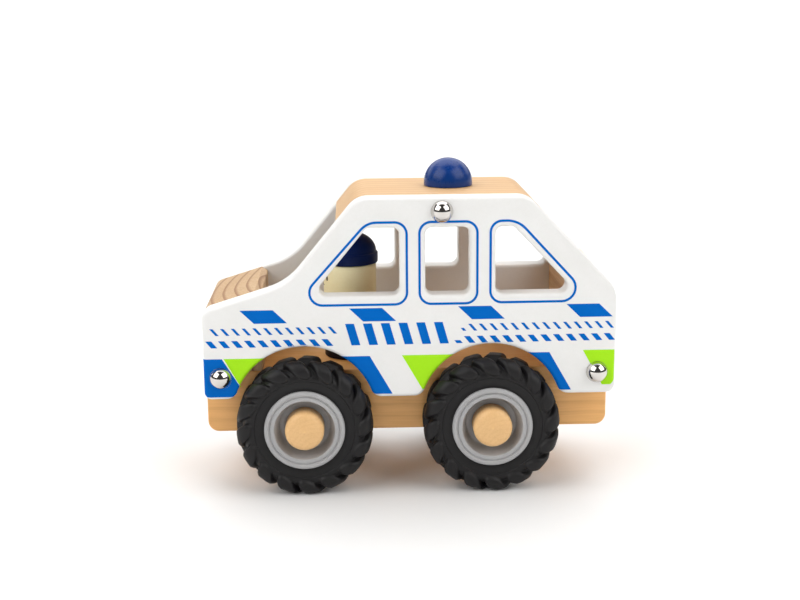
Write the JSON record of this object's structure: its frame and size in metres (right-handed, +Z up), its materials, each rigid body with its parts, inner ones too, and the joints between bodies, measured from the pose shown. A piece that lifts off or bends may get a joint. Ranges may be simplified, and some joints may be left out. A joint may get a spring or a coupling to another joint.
{
  "type": "toy police car",
  "caption": "Wooden toy police car with white side panels on a pine base, open windows, a driver peg, a blue roof beacon and lugged rubber tyres that turn on steel axles.",
  "frame": {"origin": "on the floor under the middle of the car", "axes": "+X towards the tail, +Y towards the car's right-hand side, +Z up"},
  "size_m": [0.165, 0.0892, 0.1309],
  "materials": {
    "panel_white": "white lacquer on board, satin",
    "base_pine": "clear-lacquered pine",
    "hood_pine": "clear-lacquered pine",
    "roof_pine": "clear-lacquered pine",
    "beacon_blue": "blue lacquer, satin",
    "dowel_wood": "plain turned wood",
    "driver_cream": "cream paint, satin",
    "driver_uniform": "dark blue paint, satin",
    "cap_navy": "dark blue paint, satin",
    "steel": "bright drawn steel",
    "chrome": "mirror plated",
    "hub_grey": "moulded grey plastic",
    "tyre_black": "matt black rubber",
    "button_wood": "clear-lacquered turned wood",
    "print_blue": "blue screen-printed ink",
    "print_green": "yellow-green screen-printed ink",
    "print_dark": "black paint dots"
  },
  "bodies": {
    "car_body": {"left_side_panel": "panel_white", "right_side_panel": "panel_white", "base_block": "base_pine", "hood_block": "hood_pine", "tail_block": "hood_pine", "roof_block": "roof_pine", "beacon_dome": "beacon_blue", "beacon_dowel": "dowel_wood", "driver_body": "driver_cream", "driver_cap": "cap_navy", "driver_dowel": "dowel_wood", "front_tie_rod": "steel", "rear_tie_rod": "steel", "roof_tie_rod": "steel", "front_left_rod_cap": "chrome", "front_right_rod_cap": "chrome", "rear_left_rod_cap": "chrome", "rear_right_rod_cap": "chrome", "roof_left_rod_cap": "chrome", "roof_right_rod_cap": "chrome"},
    "front_wheels": {"front_axle": "steel", "front_left_hub": "hub_grey", "front_right_hub": "hub_grey", "front_left_tyre": "tyre_black", "front_right_tyre": "tyre_black", "front_left_button": "button_wood", "front_right_button": "button_wood"},
    "rear_wheels": {"rear_axle": "steel", "rear_left_hub": "hub_grey", "rear_right_hub": "hub_grey", "rear_left_tyre": "tyre_black", "rear_right_tyre": "tyre_black", "rear_left_button": "button_wood", "rear_right_button": "button_wood"}
  },
  "joints": [
    {"name": "front_axle_spin", "type": "hinge", "parent": "car_body", "child": "front_wheels", "pos_m": [-0.04265, 0, 0.0275], "axis": [0, 1, 0], "continuous": true},
    {"name": "rear_axle_spin", "type": "hinge", "parent": "car_body", "child": "rear_wheels", "pos_m": [0.03244, 0, 0.0275], "axis": [0, 1, 0], "continuous": true}
  ]
}
